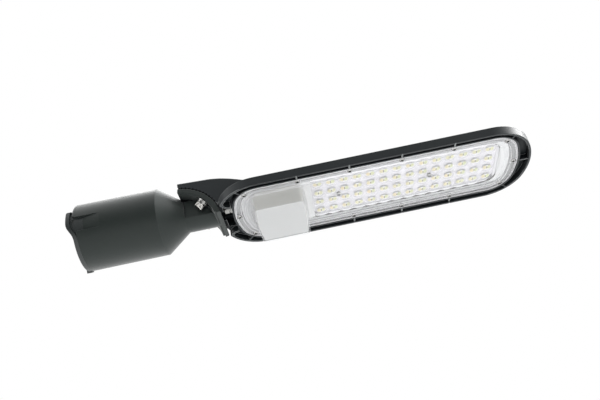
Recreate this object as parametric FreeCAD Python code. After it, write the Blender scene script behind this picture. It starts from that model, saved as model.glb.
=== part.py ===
import FreeCAD, Part
import os
from math import asin, atan2, cos, degrees, radians, sin, sqrt
from FreeCAD import Vector

# LED street light head on a tilting pole socket. Millimetres.
# Frame: the origin is the centre of the socket's floor, where the pole's end stops.
# +X runs from the socket along the head to its tip, +Z is the sky side, light leaves towards -Z.

os.makedirs("parts", exist_ok=True)

# Pole socket
pole_bore_r = 31.0
bore_length = 70.0
socket_wall = 4.0
mouth_draft = 0.4
collar_seat_depth = 11.5
collar_seat_r = 33.0
mouth_round_length = 4.0
mouth_round_depth = 2.0
mouth_bulge_length = 1.1
mouth_bulge_depth = 0.45
lower_setback = 5.0
setback_height = 4.5
relief_ramp_length = 25.0
relief_depth = 3.4
relief_low_z = -11.5
floor_thickness = 5.0
floor_hole_r = 24.0
cone_length = 25.0
neck_r = 16.7
neck_half_width = 13.5
cable_way_r = 10.0

# Collar ring in the socket's mouth
collar_clearance = 0.1
collar_wall = 1.5
collar_stand_back = 1.0
collar_bead_r = 35.2
collar_bead_width = 3.9
ear_front_x = -87.05
ear_top_z = 13.0
ear_corner_r = 1.6
ear_bend_z = -1.5
ear_foot_z = -21.0
ear_pull = 9.0
ear_slot_depth = 0.8
ear_slot_x = -81.2
ear_slot_length = 2.2
ear_slot_low_z = -4.0
ear_slot_high_z = 3.0
key_turn = 33.0
key_front_x = -83.6
key_length = 5.6
key_low_r = 31.8
key_high_r = 36.7
key_width = 6.0

# Screws that press the collar on the pole, both on the far side
set_screw_r = 2.5
set_screw_socket_r = 1.3
set_screw_socket_depth = 2.0
set_screw_stand_out = 3.4
set_screw_setback = 0.3
set_screw_x = -74.2
set_screw_turns = (115.0, 155.0)
set_boss_r = 4.6
set_boss_height = 0.6
thread_clearance = 0.05

# Tilt joint: a toothed saddle on the arm runs in a toothed hollow under the head's tail
tilt_x = 22.5
tilt_z = -26.15
saddle_r = 47.05
saddle_thickness = 6.3
saddle_end_thickness = 4.2
saddle_end_angle = 13.5
saddle_half_width = 24.8
saddle_low_angle = 10.8
saddle_high_angle = 84.0
saddle_edge_round = 1.2
running_gap = 0.3
tooth_step = 5.0
tooth_phase = 3.8
tooth_depth = 1.2
tilt_up = 5.0
tilt_down = 15.0
window_half_width = 8.0
window_low_angle = 20.0
window_high_angle = 50.0

# Clamp bolts of the tilt joint
bolt_angle = 43.5
bolt_y = 19.5
bolt_r = 3.0
bolt_head_r = 4.4
bolt_head_height = 5.4
bolt_socket_r = 2.4
bolt_socket_depth = 3.0
bolt_reach = 9.0
bolt_hole_end = 1.5
slot_clearance = 0.3
washer_r = 5.6
washer_thickness = 1.6
washer_gap = 0.3
spring_washer_r = 4.8
spring_washer_thickness = 1.6
spring_washer_split = 1.0

# Head casting, heights are above the lip plane
lip_z = -15.35
head_low_x = 63.65
head_length = 328.2
head_half_width = 55.0
head_corner_r = 42.0
head_end_r = 80.0
skirt_wall = 2.2
skirt_height = 9.2
channel_floor = 7.0
ring_setback = 1.0
ring_wall = 1.6
rib_thickness = 1.6
shoulder_inset = 15.0
back_height = 13.0
cavity_roof = 9.2
hook_half_gap = 29.4
hook_r = 8.0
fin_height = 9.0
fin_thickness = 2.2
fin_pitch = 9.0
fin_count = 8
fin_start = 150.0
fin_tip_gap = 39.85
fin_envelope_inset = 30.0

# Tail of the head casting
tail_half_width = 24.8
tail_end_x = 27.4
tail_top_z = 27.2
tail_bend_x = 60.0
tail_bend_z = 25.6
tail_fade_x = 135.0
tail_curve_start = 22.5
tail_curve_drop = 1.6
tail_curve_end = 30.0
tail_curve_rise = 14.4
tail_foot = 7.0
tail_skin = 3.5
tail_roof = 4.0
tail_edge_round = 2.0
tail_pocket_half_width = 14.0
well_half_width = 21.0
arch_half_width = 19.0
arch_depth = 2.2
arch_low_angle = 62.0
bay_half_width = 12.0
bay_roof = 19.5
bay_length = 33.0
gland_wall = 4.0
screw_shelf = 1.1

# Clear cover and its seal
cover_low_gap = 17.1
cover_tip_gap = 13.5
cover_half_width = 46.2
cover_corner_r = 26.0
cover_end_r = 100.0
cover_clearance = 0.5
cover_face = 2.1
flange_thickness = 2.5
cover_wall = 2.0
rim_bead_width = 1.8
rim_bead_rise = 0.7
flange_width = 6.7
step_width = 4.6
step_rise = 0.8
step_count = 2
bump_wall = 1.2
bump_flat_r = 400.0
bump_rim_low_x = 95.7
bump_rim_high_x = 157.0
bump_rim_half_width = 35.2
bump_rim_corner_r = 10.0
bump_rim_bow_r = 84.0
bump_base_low_x = 102.2
bump_base_high_x = 154.4
bump_base_half_width = 31.9
bump_base_corner_r = 4.0
bump_bottom = -15.4
gasket_thickness = 0.8
gasket_margin = 0.3
seat_width = 7.5
gasket_width = 6.6
side_screw_x = 150.6
side_screw_pitch = 52.9
side_screw_tip_gap = 60.0
screw_inset = 4.0
corner_screw_angle = 50.0
cover_screw_r = 1.5
cover_screw_head_r = 2.8
cover_screw_head_height = 1.8
cover_screw_grip = 4.0
screw_hole_clearance = 0.3
notch_r = 3.3
notch_depth = 0.8
screw_tip_gap = 0.3
screw_head_taper = 0.7

# Light engine
led_first_x = 169.65
led_pitch_x = 13.74
led_pitch_y = 16.1
led_tip_gap = 28.0
led_rows = 4
led_length = 6.4
led_width = 5.0
led_height = 0.7
board_half_width = 32.0
board_margin_x = 9.0
board_end_margin = 8.0
board_thickness = 1.6
board_corner_r = 12.0
lens_base_thickness = 2.0
lens_r = 6.0
lens_rise = 2.4
lens_pocket_margin = 0.4
lens_pocket_depth = 0.9
lens_half_width = 34.65
lens_end_margin = 10.2
scallop_depth = 1.8
plate_corner_r = 13.0
lens_screw_columns = (1.5, 8.5)
lens_screw_r = 1.5
lens_screw_head_r = 2.7
lens_screw_head_height = 1.8
lens_screw_grip = 2.8
tray_gap = 0.4
tray_thickness = 1.2
tray_face = 4.8
tray_step = 0.5
tray_well_inset = 17.5
tray_well_half_width = 34.0
tray_well_corner_r = 15.0
tray_well_end_r = 90.0
tray_foot_r = 1.4
tray_end_foot_x = 93.8
tray_end_foot_y = 20.0

# Driver in the cover's bump
driver_clearance = 0.4
driver_wall = 1.8
driver_shoulder = 4.4
driver_low_x = 104.5
driver_high_x = 152.3
driver_half_width = 29.8
driver_corner_r = 4.0
driver_board_thickness = 1.6
driver_board_inset = 5.0
driver_board_gap = 0.3
transformer_size = 18.0
transformer_height = 12.0
capacitor_r = 5.0
capacitor_length = 12.0
capacitor_gap = 1.0
driver_ear_length = 7.0
driver_ear_thickness = 2.0
driver_ear_width = 10.0
driver_screw_r = 1.5
driver_screw_head_r = 2.7
driver_screw_head_height = 1.2
driver_screw_grip = 2.6

# Cable gland and terminal block
gland_height = 14.35
gland_thread_r = 4.0
gland_hex_r = 5.2
gland_hex_length = 2.2
gland_neck_length = 3.0
gland_nut_length = 7.0
gland_nut_r = 4.5
gland_bore_r = 2.6
gland_seal_web = 1.2
gland_seal_setback = 0.6
gland_nut_gap = 1.2
gland_nut_chamfer = 1.0
terminal_length = 12.0
terminal_setback = 9.0
terminal_half_width = 9.0
terminal_height = 8.0
terminal_poles = 3
terminal_screw_r = 1.8
terminal_screw_depth = 2.4
terminal_screw_sink = 0.4
terminal_slot = 0.8
terminal_slot_depth = 1.0
lead_r = 1.1
lead_straight = 2.0
lead_bend_r = 6.0

# Values that follow from the sizes above
mouth_x = -bore_length - collar_seat_depth
socket_outer_r = pole_bore_r + socket_wall
neck_start_x = floor_thickness + cone_length
head_high_x = head_low_x + head_length
cover_high_x = head_high_x - cover_tip_gap
cover_low_x = head_low_x + cover_low_gap
head_outline = (head_low_x, head_high_x, head_half_width, head_corner_r, head_end_r, head_end_r)
cover_outline = (cover_low_x, cover_high_x, cover_half_width, cover_corner_r, cover_end_r, cover_end_r)
bump_rim = (bump_rim_low_x, bump_rim_high_x, bump_rim_half_width,
            bump_rim_corner_r, bump_rim_bow_r, bump_flat_r)
bump_base = (bump_base_low_x, bump_base_high_x, bump_base_half_width,
             bump_base_corner_r, bump_flat_r, bump_flat_r)
tray_well = (cover_low_x + tray_well_inset, cover_high_x - tray_well_inset, tray_well_half_width,
             tray_well_corner_r, tray_well_end_r, tray_well_end_r)
collar_front_x = mouth_x + collar_stand_back
ring_inner = -cover_clearance
ring_outer = ring_inner - ring_wall
seat_height = cover_face + flange_thickness + gasket_thickness
tail_r = saddle_r + running_gap
board_face = cavity_roof - board_thickness
led_columns = int((cover_high_x - led_tip_gap - led_first_x) / led_pitch_x) + 1
led_last_x = led_first_x + (led_columns - 1) * led_pitch_x
side_screw_count = int((cover_high_x - side_screw_tip_gap - side_screw_x) / side_screw_pitch) + 1
led_half_span = (led_rows - 1) * led_pitch_y / 2
board_low_x = led_first_x - board_margin_x
board_high_x = led_last_x + board_end_margin
lens_low_x = led_first_x - led_pitch_x / 2
lens_high_x = led_last_x + lens_end_margin
lens_face = board_face - lens_base_thickness
gland_z = lip_z + gland_height
gland_wall_x = cover_low_x + ring_outer
bay_low_x = gland_wall_x + gland_wall


def save(shape, name):
    """Write one node."""
    shape.exportStep("parts/" + name + ".step")


def level(height):
    """Z of a height above the lip plane."""
    return lip_z + height


def lathe(points):
    """Solid of revolution about the X axis from (x, radius) corners."""
    corners = [Vector(x, 0, r) for x, r in points]
    face = Part.Face(Part.makePolygon(corners + corners[:1]))
    return face.revolve(Vector(0, 0, 0), Vector(1, 0, 0), 360)


def box(x0, x1, y0, y1, z0, z1):
    """Block between two corners."""
    return Part.makeBox(x1 - x0, y1 - y0, z1 - z0, Vector(x0, y0, z0))


def post(radius, x, y, h0, h1):
    """Upright cylinder between two heights above the lip plane."""
    return Part.makeCylinder(radius, h1 - h0, Vector(x, y, level(h0)))


def rod(radius, start, direction, length):
    """Cylinder from a point along a direction."""
    return Part.makeCylinder(radius, length, start, direction)


def hexagon(corner_r, start, direction, length):
    """Hexagonal prism about an axis along X."""
    corners = []
    for i in range(6):
        turn = radians(60 * i + 30)
        corners.append(start + Vector(0, corner_r * cos(turn), corner_r * sin(turn)))
    face = Part.Face(Part.makePolygon(corners + corners[:1]))
    return face.extrude(direction * length)


def oblong(outline, inset, height):
    """Long outline with straight sides, round corners and flatter round ends, set in by a distance."""
    x_low, x_high, half_width, corner_r, low_end_r, high_end_r = outline
    half_width -= inset
    corner_r -= inset
    z = level(height)
    corner_y = half_width - corner_r
    edges = []
    ends = ((1, x_high - inset, high_end_r - inset), (-1, x_low + inset, low_end_r - inset))
    for sign, x_end, end_r in ends:
        corner_dx = sqrt((end_r - corner_r) ** 2 - corner_y ** 2)
        lean = atan2(corner_y, corner_dx)
        middle = (lean + radians(90)) / 2
        corner_x = x_end - sign * (end_r - corner_dx)

        def at(turn, side):
            return Vector(corner_x + sign * corner_r * cos(turn), side * (corner_y + corner_r * sin(turn)), z)

        if edges:
            edges.append(Part.makeLine(edges[-1].Vertexes[-1].Point, at(radians(90), sign)))
        edges.append(Part.Arc(at(radians(90), sign), at(middle, sign), at(lean, sign)).toShape())
        edges.append(Part.Arc(at(lean, sign), Vector(x_end, 0, z), at(lean, -sign)).toShape())
        edges.append(Part.Arc(at(lean, -sign), at(middle, -sign), at(radians(90), -sign)).toShape())
    edges.append(Part.makeLine(edges[-1].Vertexes[-1].Point, edges[0].Vertexes[0].Point))
    return Part.Wire(edges)


def slab(outline, inset, h0, h1):
    """Flat slab on an outline, between two heights."""
    return Part.Face(oblong(outline, inset, h0)).extrude(Vector(0, 0, h1 - h0))


def round_rect(x0, x1, half_width, radius, z):
    """Rectangle with round corners as a wire."""
    corners = ((x1, 1, 0), (x0, 1, 90), (x0, -1, 180), (x1, -1, 270))
    edges = []
    for x, side, start in corners:
        centre = Vector(x - radius if x == x1 else x + radius, side * (half_width - radius), z)
        arc = []
        for turn in (start, start + 45, start + 90):
            arc.append(centre + Vector(radius * cos(radians(turn)), radius * sin(radians(turn)), 0))
        if edges:
            edges.append(Part.makeLine(edges[-1].Vertexes[-1].Point, arc[0]))
        edges.append(Part.Arc(*arc).toShape())
    edges.append(Part.makeLine(edges[-1].Vertexes[-1].Point, edges[0].Vertexes[0].Point))
    return Part.Wire(edges)


def round_block(x0, x1, half_width, radius, h0, h1):
    """Block with round upright corners between two heights."""
    return Part.Face(round_rect(x0, x1, half_width, radius, level(h0))).extrude(Vector(0, 0, h1 - h0))


def around_tilt(radius, angle, y=0.0):
    """Point at a radius and an angle about the tilt axis."""
    return Vector(tilt_x + radius * cos(radians(angle)), y, tilt_z + radius * sin(radians(angle)))


def sector(r0, r1, low_angle, high_angle, half_width):
    """Curved plate about the tilt axis."""
    middle = (low_angle + high_angle) / 2
    inner = [around_tilt(r0, a, -half_width) for a in (low_angle, middle, high_angle)]
    outer = [around_tilt(r1, a, -half_width) for a in (high_angle, middle, low_angle)]
    edges = [Part.Arc(*inner).toShape()]
    edges.append(Part.makeLine(inner[2], outer[0]))
    edges.append(Part.Arc(*outer).toShape())
    edges.append(Part.makeLine(outer[2], inner[0]))
    return Part.Face(Part.Wire(edges)).extrude(Vector(0, 2 * half_width, 0))


def tilt_cylinder(radius, half_width):
    """Full cylinder about the tilt axis."""
    return Part.makeCylinder(radius, 2 * half_width, Vector(tilt_x, -half_width, tilt_z), Vector(0, 1, 0))


def tooth_gaps(radius, depth, half_width):
    """V gaps between the teeth, all the way across, cut to a depth past the crest radius."""
    first = int((saddle_low_angle - tooth_phase) / tooth_step) + 1
    last = int((saddle_high_angle - tooth_phase) / tooth_step)
    mouth = degrees(abs(depth) / radius)
    lift = running_gap if depth < 0 else -running_gap
    gaps = []
    for i in range(first, last + 1):
        angle = tooth_phase + i * tooth_step
        corners = [around_tilt(radius + lift, angle - mouth, -half_width)]
        corners.append(around_tilt(radius + depth, angle, -half_width))
        corners.append(around_tilt(radius + lift, angle + mouth, -half_width))
        face = Part.Face(Part.makePolygon(corners + corners[:1]))
        gaps.append(face.extrude(Vector(0, 2 * half_width, 0)))
    return gaps


def revolved(edges):
    """Solid of revolution about the X axis from a closed list of edges."""
    return Part.Face(Part.Wire(edges)).revolve(Vector(0, 0, 0), Vector(1, 0, 0), 360)


def make_shell():
    """Outside of the tube and cone, with the rounded mouth."""
    mouth_r = socket_outer_r + mouth_draft
    corners = [Vector(mouth_x + mouth_round_length, 0, mouth_r), Vector(floor_thickness, 0, socket_outer_r)]
    corners += [Vector(neck_start_x, 0, neck_r), Vector(neck_start_x, 0, 0), Vector(mouth_x, 0, 0)]
    corners.append(Vector(mouth_x, 0, mouth_r - mouth_round_depth))
    edges = [Part.makeLine(a, b) for a, b in zip(corners, corners[1:])]
    bulge = Vector(mouth_x + mouth_bulge_length, 0, mouth_r - mouth_bulge_depth)
    edges.append(Part.Arc(corners[-1], bulge, corners[0]).toShape())
    return revolved(edges)


def mouth_cuts():
    """Set-back lower part of the mouth with a round upper corner, and a ramped pocket on each side."""
    reach = 2 * socket_outer_r
    rim_x = mouth_x + lower_setback
    corner_z = setback_height + lower_setback
    ramp_r = socket_outer_r + mouth_draft
    ramp = lathe([(rim_x - 1, ramp_r - relief_depth), (rim_x - 1, reach),
                  (rim_x + relief_ramp_length, reach), (rim_x + relief_ramp_length, ramp_r)])
    band = box(rim_x - 1, rim_x + relief_ramp_length, -reach, reach, relief_low_z, setback_height)
    front = box(mouth_x - 1, rim_x, -reach, reach, -reach, corner_z)
    keep = rod(lower_setback, Vector(rim_x, -reach, corner_z), Vector(0, 1, 0), 2 * reach)
    return [front.cut(keep), ramp.common(band)]


def make_saddle():
    """Toothed saddle plate with its bolt slots."""
    hollow_r = saddle_r - saddle_thickness
    plate = sector(hollow_r, saddle_r, saddle_low_angle, saddle_high_angle, saddle_half_width)
    ends = [edge for edge in plate.Edges if edge.Length > 1.9 * saddle_half_width]
    plate = plate.makeFillet(saddle_edge_round, ends)
    thin = sector(saddle_r - 2 * saddle_thickness, saddle_r - saddle_end_thickness, 0, saddle_end_angle,
                  saddle_half_width + 1)
    slots = [thin]
    slot_r = bolt_r + slot_clearance
    for side in (-1, 1):
        cut = sector(saddle_r - 2 * saddle_thickness, saddle_r + 1, bolt_angle - tilt_down,
                     bolt_angle + tilt_up, slot_r)
        cut.translate(Vector(0, side * bolt_y, 0))
        slots.append(cut)
        for angle in (bolt_angle - tilt_down, bolt_angle + tilt_up):
            start = around_tilt(saddle_r - 2 * saddle_thickness, angle, side * bolt_y)
            out = around_tilt(1, angle) - around_tilt(0, angle)
            slots.append(rod(slot_r, start, out, 3 * saddle_thickness))
    return plate.cut(slots + tooth_gaps(saddle_r, -tooth_depth, saddle_half_width + 1))


def set_screw_axis(turn, radius):
    """Point on a clamping screw's axis and the direction away from the pole."""
    out = Vector(0, sin(radians(turn)), -cos(radians(turn)))
    return Vector(set_screw_x, 0, 0) + out * radius, out


def make_arm():
    """Pole socket, cone, neck and saddle in one casting."""
    reach = tilt_x + saddle_r
    neck = rod(neck_r, Vector(floor_thickness, 0, 0), Vector(1, 0, 0), reach)
    flats = box(floor_thickness, reach, -neck_half_width, neck_half_width, -neck_r, neck_r)
    neck = neck.common(flats).common(tilt_cylinder(saddle_r - saddle_thickness / 2, saddle_half_width))
    bosses = []
    holes = []
    for turn in set_screw_turns:
        start, out = set_screw_axis(turn, collar_seat_r)
        boss_top = socket_outer_r + mouth_draft + set_boss_height
        bosses.append(rod(set_boss_r, start, out, boss_top - collar_seat_r))
        start, out = set_screw_axis(turn, 0)
        holes.append(rod(set_screw_r, start, out, 2 * socket_outer_r))
    body = make_shell().fuse([neck, make_saddle()] + bosses)
    bore = lathe([(mouth_x - 1, 0), (mouth_x - 1, collar_seat_r), (-bore_length, collar_seat_r),
                  (-bore_length, pole_bore_r), (0, pole_bore_r), (0, floor_hole_r),
                  (neck_start_x - floor_thickness, cable_way_r), (neck_start_x - floor_thickness, 0)])
    way = rod(cable_way_r, Vector(0, 0, 0), Vector(1, 0, 0), reach)
    window = sector(saddle_r - 2 * saddle_thickness, saddle_r + 1, window_low_angle, window_high_angle,
                    window_half_width)
    return body.cut([bore, way, window] + holes + mouth_cuts())


def make_set_screws():
    """Hex-socket screws that press the collar on the pole."""
    screws = []
    inner = collar_seat_r + set_screw_setback - collar_clearance
    length = socket_outer_r + mouth_draft + set_screw_stand_out - inner
    for turn in set_screw_turns:
        start, out = set_screw_axis(turn, inner)
        screw = rod(set_screw_r - thread_clearance, start, out, length)
        corners = []
        for k in range(6):
            lean = radians(60 * k)
            corners.append(Vector(set_screw_socket_r * cos(lean), set_screw_socket_r * sin(lean), 0))
        key = Part.Face(Part.makePolygon(corners + corners[:1])).extrude(Vector(0, 0, -length))
        key.rotate(Vector(0, 0, 0), Vector(1, 0, 0), turn)
        key.translate(start + out * (length - set_screw_socket_depth))
        screws.append(screw.cut(key))
    return Part.makeCompound(screws)


def collar_side_view(shift):
    """Block with the collar's front edge in side view, an ear that fades into the ring, moved by a shift."""
    reach = 2 * socket_outer_r
    front = ear_front_x + shift
    ring = collar_front_x + shift

    def at(x, z):
        return Vector(x, -reach, z)

    round_dx = ear_corner_r * (1 - cos(radians(45)))
    corner = (at(front + ear_corner_r, ear_top_z), at(front + round_dx, ear_top_z - round_dx),
              at(front, ear_top_z - ear_corner_r))
    fade = Part.BezierCurve()
    fade.setPoles([at(front, ear_bend_z), at(front, ear_bend_z - ear_pull),
                   at(ring, ear_foot_z + ear_pull), at(ring, ear_foot_z)])
    edges = [Part.makeLine(at(-bore_length, ear_top_z), corner[0])]
    edges.append(Part.Arc(*corner).toShape())
    edges.append(Part.makeLine(corner[2], at(front, ear_bend_z)))
    edges.append(fade.toShape())
    edges.append(Part.makeLine(at(ring, ear_foot_z), at(ring, -reach)))
    edges.append(Part.makeLine(at(ring, -reach), at(-bore_length, -reach)))
    edges.append(Part.makeLine(at(-bore_length, -reach), at(-bore_length, ear_top_z)))
    return Part.Face(Part.Wire(edges)).extrude(Vector(0, 2 * reach, 0))


def make_collar():
    """Ring that closes the gap to the pole, with a bead along its front edge, two ears and a key."""
    outer_r = collar_seat_r - collar_clearance
    inner_r = outer_r - collar_wall
    far = ear_front_x - 1
    bead_end = collar_front_x + collar_bead_width
    view = collar_side_view(0)
    ring = lathe([(collar_front_x, inner_r), (collar_front_x, outer_r), (-bore_length, outer_r),
                  (-bore_length, inner_r)])
    sleeve = lathe([(far, inner_r), (far, outer_r), (-bore_length, outer_r), (-bore_length, inner_r)])
    bead = lathe([(far, inner_r), (far, collar_bead_r), (bead_end, collar_bead_r), (bead_end, inner_r)])
    bead = bead.common(view).cut(collar_side_view(collar_bead_width))
    key = box(key_front_x, key_front_x + key_length, -key_width / 2, key_width / 2, -key_high_r, -key_low_r)
    key.rotate(Vector(0, 0, 0), Vector(1, 0, 0), key_turn)
    ring = ring.fuse([sleeve.common(view), bead, key])
    slots = []
    for side in (-1, 1):
        middle = side * outer_r
        slots.append(box(ear_slot_x, ear_slot_x + ear_slot_length, middle - ear_slot_depth,
                         middle + ear_slot_depth, ear_slot_low_z, ear_slot_high_z))
    return ring.cut(slots).removeSplitter()


def cover_screw_places():
    """Centre and outward direction of each cover screw."""
    places = []
    for side in (-1, 1):
        for i in range(side_screw_count):
            x = side_screw_x + i * side_screw_pitch
            places.append((x, side * (cover_half_width - screw_inset), 90.0 * side))
    corner_y = cover_half_width - cover_corner_r
    corner_dx = sqrt((cover_end_r - cover_corner_r) ** 2 - corner_y ** 2)
    reach = cover_corner_r - screw_inset
    for sign, x_end in ((1, cover_high_x), (-1, cover_low_x)):
        corner_x = x_end - sign * (cover_end_r - corner_dx)
        for side in (-1, 1):
            turn = radians(corner_screw_angle)
            x = corner_x + sign * reach * cos(turn)
            y = side * (corner_y + reach * sin(turn))
            places.append((x, y, degrees(atan2(side * sin(turn), sign * cos(turn)))))
        places.append((x_end - sign * screw_inset, 0.0, 0.0 if sign > 0 else 180.0))
    return places


def tail_profile(drop, half_width):
    """Side view of the tail and the spine that fades into the back, lowered by a roof thickness."""
    left = Vector(tail_end_x, -half_width, tail_top_z - drop)
    bend = Vector(tail_bend_x, -half_width, tail_bend_z - drop)
    fade = Vector(tail_fade_x, -half_width, level(back_height) - drop)
    curve = Part.BezierCurve()
    curve.setPoles([bend, bend + Vector(tail_curve_start, 0, -tail_curve_drop),
                    fade + Vector(-tail_curve_end, 0, tail_curve_rise), fade])
    foot_x = gland_wall_x + ring_wall / 2
    step_z = level(cavity_roof + ring_wall / 2) - drop
    corners = [fade, Vector(tail_fade_x, -half_width, step_z), Vector(foot_x, -half_width, step_z)]
    corners.append(Vector(foot_x, -half_width, level(tail_foot)))
    corners.append(Vector(tail_end_x + 2, -half_width, level(tail_foot)))
    edges = [Part.makeLine(left, bend), curve.toShape()]
    for a, b in zip(corners, corners[1:]):
        edges.append(Part.makeLine(a, b))
    edges.append(Part.makeLine(corners[-1], left))
    return Part.Face(Part.Wire(edges)).extrude(Vector(0, 2 * half_width, 0))


def make_fins():
    """Cooling fins along the back, cut to a crowned envelope."""
    low = oblong(head_outline, shoulder_inset, back_height)
    high = oblong(head_outline, fin_envelope_inset, back_height + fin_height)
    envelope = Part.makeLoft([low, high], True, True)
    fins = []
    for i in range(fin_count):
        y = (i - (fin_count - 1) / 2) * fin_pitch
        fin = box(fin_start, head_high_x - fin_tip_gap, y - fin_thickness / 2, y + fin_thickness / 2,
                  level(cavity_roof + 1), level(back_height + fin_height))
        fins.append(fin.common(envelope))
    return fins


def make_ribs(channel):
    """Thin walls across the channel at every cover screw."""
    ribs = []
    reach = head_half_width
    for x, y, turn in cover_screw_places():
        rib = box(0, reach, -rib_thickness / 2, rib_thickness / 2, level(ring_setback),
                  level(channel_floor + 1))
        rib.rotate(Vector(0, 0, 0), Vector(0, 0, 1), turn)
        rib.translate(Vector(x, y, 0))
        if x > cover_low_x + 2 * screw_inset:
            ribs.append(rib.common(channel))
    return ribs


def make_hooks():
    """Round ends of the skirt that turn in to the ring wall, either side of the arm."""
    hooks = []
    for side in (-1, 1):
        centre = Vector(gland_wall_x, side * (hook_half_gap + 1), lip_z)
        tube = Part.makeCylinder(hook_r, channel_floor + 1, centre)
        tube = tube.cut(Part.makeCylinder(hook_r - skirt_wall, channel_floor + 1, centre))
        low = min(centre.y, centre.y - side * 2 * hook_r)
        quarter = box(gland_wall_x - 2 * hook_r, gland_wall_x + ring_wall / 2, low, low + 2 * hook_r,
                      lip_z, level(channel_floor + 1))
        hooks.append(tube.common(quarter))
    return hooks


def make_housing():
    """Skirt, ring wall, ribs, finned back and tail in one casting."""
    skirt = slab(head_outline, 0, 0, skirt_height)
    shoulder = Part.makeLoft([oblong(head_outline, 0, skirt_height),
                              oblong(head_outline, shoulder_inset, back_height)], True, True)
    body = skirt.fuse([shoulder] + make_fins())
    inside = slab(head_outline, skirt_wall, -1, ring_setback)
    channel = slab(head_outline, skirt_wall, -1, channel_floor)
    channel = channel.cut(slab(cover_outline, ring_outer, -2, channel_floor + 1))
    gap = box(head_low_x - 1, gland_wall_x, -hook_half_gap, hook_half_gap, lip_z - 1, level(tail_foot))
    body = body.cut([inside, channel, gap]).fuse(make_hooks())
    tail = tail_profile(0, tail_half_width)
    top = [edge for edge in tail.Edges if edge.BoundBox.YLength < 0.01
           and edge.BoundBox.ZMin > level(back_height) - 0.01 and edge.BoundBox.XLength > tail_edge_round]
    tail = tail.makeFillet(tail_edge_round, top)
    body = body.fuse([tail] + make_ribs(channel))
    hollow = tilt_cylinder(tail_r, saddle_half_width + 1)
    arch = sector(tail_r - 1, tail_r + arch_depth, arch_low_angle, 120, arch_half_width)
    pocket = tail_profile(tail_roof, tail_pocket_half_width)
    pocket = pocket.common(box(tail_bend_x / 2, gland_wall_x, -tail_half_width, tail_half_width,
                               lip_z, tail_top_z))
    skin = tilt_cylinder(tail_r + tail_skin, head_half_width)
    well = box(tail_bend_x, gland_wall_x, -well_half_width, well_half_width, lip_z - 1,
               level(tail_foot + skirt_height))
    window = sector(tail_r - 1, tail_r + 2 * tail_skin, window_low_angle, window_high_angle,
                    window_half_width)
    window = window.cut(box(gland_wall_x, head_high_x, -tail_half_width, tail_half_width, lip_z, tail_top_z))
    shelf_height = seat_height + cover_screw_grip + screw_shelf
    bay_high_x = bay_low_x + bay_length
    bay = box(bay_low_x, bay_high_x, -bay_half_width, bay_half_width, level(shelf_height), level(bay_roof))
    drop = box(cover_low_x + seat_width, bay_high_x, -bay_half_width, bay_half_width,
               level(cavity_roof - 1), level(shelf_height))
    bay = bay.fuse(drop)
    seat = slab(cover_outline, ring_inner, 0, seat_height)
    cavity = slab(cover_outline, seat_width, 0, cavity_roof)
    body = body.cut([hollow, arch, pocket.cut(skin), well.cut(skin), window, bay, seat, cavity])
    holes = [rod(gland_thread_r + thread_clearance, Vector(gland_wall_x - 1, 0, gland_z), Vector(1, 0, 0),
                 gland_wall + 1)]
    for x, y, turn in cover_screw_places():
        holes.append(post(cover_screw_r + thread_clearance, x, y, 0, seat_height + cover_screw_grip))
    for x in lens_screw_xs():
        holes.append(post(lens_screw_r + thread_clearance, x, 0, 0, cavity_roof + lens_screw_grip))
    for x, y in driver_screw_places():
        holes.append(post(driver_screw_r + thread_clearance, x, y, 0, cavity_roof + driver_screw_grip))
    out = around_tilt(1, bolt_angle) - around_tilt(0, bolt_angle)
    for side in (-1, 1):
        start = around_tilt(tail_r - 1, bolt_angle, side * bolt_y)
        holes.append(rod(bolt_r + thread_clearance, start, out, bolt_reach + bolt_hole_end))
    holes += tooth_gaps(tail_r, tooth_depth, saddle_half_width + 1)
    return body.cut(holes)


def stacked_on_saddle(inner_r, thickness, radius, hole_r):
    """Two discs square to the clamp bolts, starting at a distance from the tilt axis."""
    out = around_tilt(1, bolt_angle) - around_tilt(0, bolt_angle)
    discs = []
    for side in (-1, 1):
        start = around_tilt(inner_r, bolt_angle, side * bolt_y)
        disc = rod(radius, start, out, thickness)
        discs.append(disc.cut(rod(hole_r, start, out, thickness)))
    return discs


def washer_face_r():
    """Distance of the washers' outer face, where their edge just clears the saddle's hollow."""
    hollow_r = saddle_r - saddle_thickness
    return hollow_r * cos(asin(washer_r / hollow_r)) - washer_gap


def make_flat_washers():
    return Part.makeCompound(stacked_on_saddle(washer_face_r() - washer_thickness, washer_thickness, washer_r,
                                               bolt_r + slot_clearance))


def make_spring_washers():
    """Split rings between the bolt heads and the flat washers."""
    inner = washer_face_r() - washer_thickness - spring_washer_thickness
    rings = stacked_on_saddle(inner, spring_washer_thickness, spring_washer_r, bolt_r + slot_clearance)
    half = spring_washer_split / 2
    split = []
    for side, ring in zip((-1, 1), rings):
        gap = box(-half, half, 0, 2 * spring_washer_r, -bolt_reach, bolt_reach)
        gap.rotate(Vector(0, 0, 0), Vector(0, 0, 1), 90 - 90 * side)
        gap.rotate(Vector(0, 0, 0), Vector(0, 1, 0), 90 - bolt_angle)
        gap.translate(around_tilt(inner, bolt_angle, side * bolt_y))
        split.append(ring.cut(gap))
    return Part.makeCompound(split)


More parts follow.
